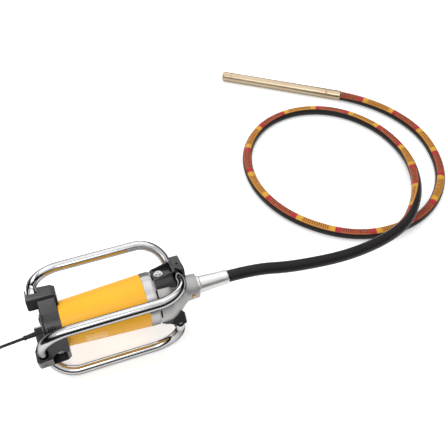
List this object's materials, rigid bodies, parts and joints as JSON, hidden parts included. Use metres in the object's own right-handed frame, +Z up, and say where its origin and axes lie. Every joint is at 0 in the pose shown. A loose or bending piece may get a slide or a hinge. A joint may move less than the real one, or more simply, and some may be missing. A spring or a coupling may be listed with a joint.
{
  "type": "concrete vibrator",
  "caption": "electric concrete vibrator: yellow motor unit in a bent-tube carrying frame, long flexible shaft hose and steel vibrating poker, with mains lead and plug",
  "frame": {"origin": "centre of the bottom of the box around the object without its free cords (motor unit and poker), on the floor", "axes": "+X along the motor axis towards the hose, +Y towards the side the poker lies on, +Z up"},
  "size_m": [1.6298, 1.05, 0.2566],
  "materials": {
    "yellow_plastic": "glossy deep yellow moulded housing",
    "black_plastic": "fine-grained charcoal glass-filled plastic",
    "cast_aluminium": "blasted grey die casting",
    "chrome_tube": "bright chromed steel tube",
    "bright_steel": "turned bright steel",
    "dark_steel": "hardened dark steel",
    "zinc_steel": "yellow-passivated zinc on steel, a little worn",
    "hose_rubber": "smooth dark rubber with a printed two-colour stripe, no lettering",
    "lead_rubber": "matt black cable rubber",
    "copper": "enamelled copper",
    "lamination": "stacked steel sheets",
    "carbon": "pressed carbon",
    "label_film": "blank printed film",
    "brass_fitting": "turned brass",
    "switch_plastic": "smooth black plastic",
    "rocker_plastic": "smooth dark red plastic",
    "fan_plastic": "moulded nylon"
  },
  "bodies": {
    "frame": {"rear_cap": "black_plastic", "motor_housing": "yellow_plastic", "bearing_flange": "cast_aluminium", "front_housing": "cast_aluminium", "front_bracket_1": "black_plastic", "front_bracket_2": "black_plastic", "front_bracket_3": "black_plastic", "frame_tube_1": "chrome_tube", "frame_tube_2": "chrome_tube", "frame_tube_3": "chrome_tube", "tube_clamp_screws": "dark_steel", "bracket_screws": "bright_steel", "lug_screws": "bright_steel", "rating_plate": "label_film", "rear_bearing": "bright_steel", "front_bearing": "bright_steel", "stator_core": "lamination", "field_coils": "copper", "brush_bridge": "black_plastic", "brush_holders": "brass_fitting", "carbon_brushes": "carbon", "brush_springs": "bright_steel", "switch_body": "switch_plastic", "cable_clamp": "black_plastic", "strain_relief": "lead_rubber", "hose_fitting": "bright_steel", "poker_socket": "zinc_steel", "poker_casing": "zinc_steel", "poker_tip": "zinc_steel", "poker_bearing_rear": "bright_steel", "poker_bearing_front": "bright_steel", "poker_seal": "lead_rubber", "hose": "hose_rubber", "flexible_core": "dark_steel", "lead_run": "lead_rubber", "lead_coil": "lead_rubber", "lead_tail": "lead_rubber", "plug_body": "lead_rubber", "plug_pins": "brass_fitting"},
    "armature": {"armature_shaft": "bright_steel", "armature_core": "lamination", "armature_windings": "copper", "commutator": "copper", "cooling_fan": "fan_plastic", "drive_coupling": "dark_steel", "drive_tang": "dark_steel"},
    "eccentric": {"eccentric_rotor": "dark_steel", "poker_drive_adapter": "dark_steel"},
    "rocker": {"switch_rocker": "rocker_plastic"},
    "latch": {"lock_pin": "brass_fitting"}
  },
  "joints": [
    {"name": "motor_spin", "type": "hinge", "parent": "frame", "child": "armature", "pos_m": [-0.392, -0.42, 0.14392], "axis": [1, 0, 0], "continuous": true},
    {"name": "poker_spin", "type": "hinge", "parent": "frame", "child": "eccentric", "pos_m": [0.39764, 0.38716, 0.016], "axis": [-0.8076, 0.5898, 0], "continuous": true},
    {"name": "switch_rocker_tilt", "type": "hinge", "parent": "frame", "child": "rocker", "pos_m": [-0.523, -0.42, 0.16992], "axis": [0, 1, 0], "range_deg": [0, 18]},
    {"name": "lock_pin_lift", "type": "slide", "parent": "frame", "child": "latch", "axis": [0, -0.9976, 0.0698], "range_m": [0, 0.004], "stiffness_N_per_m": 600, "springref_m": -0.003}
  ],
  "couplings": [
    {"joint": "poker_spin", "follows": "motor_spin", "ratio": 1}
  ]
}
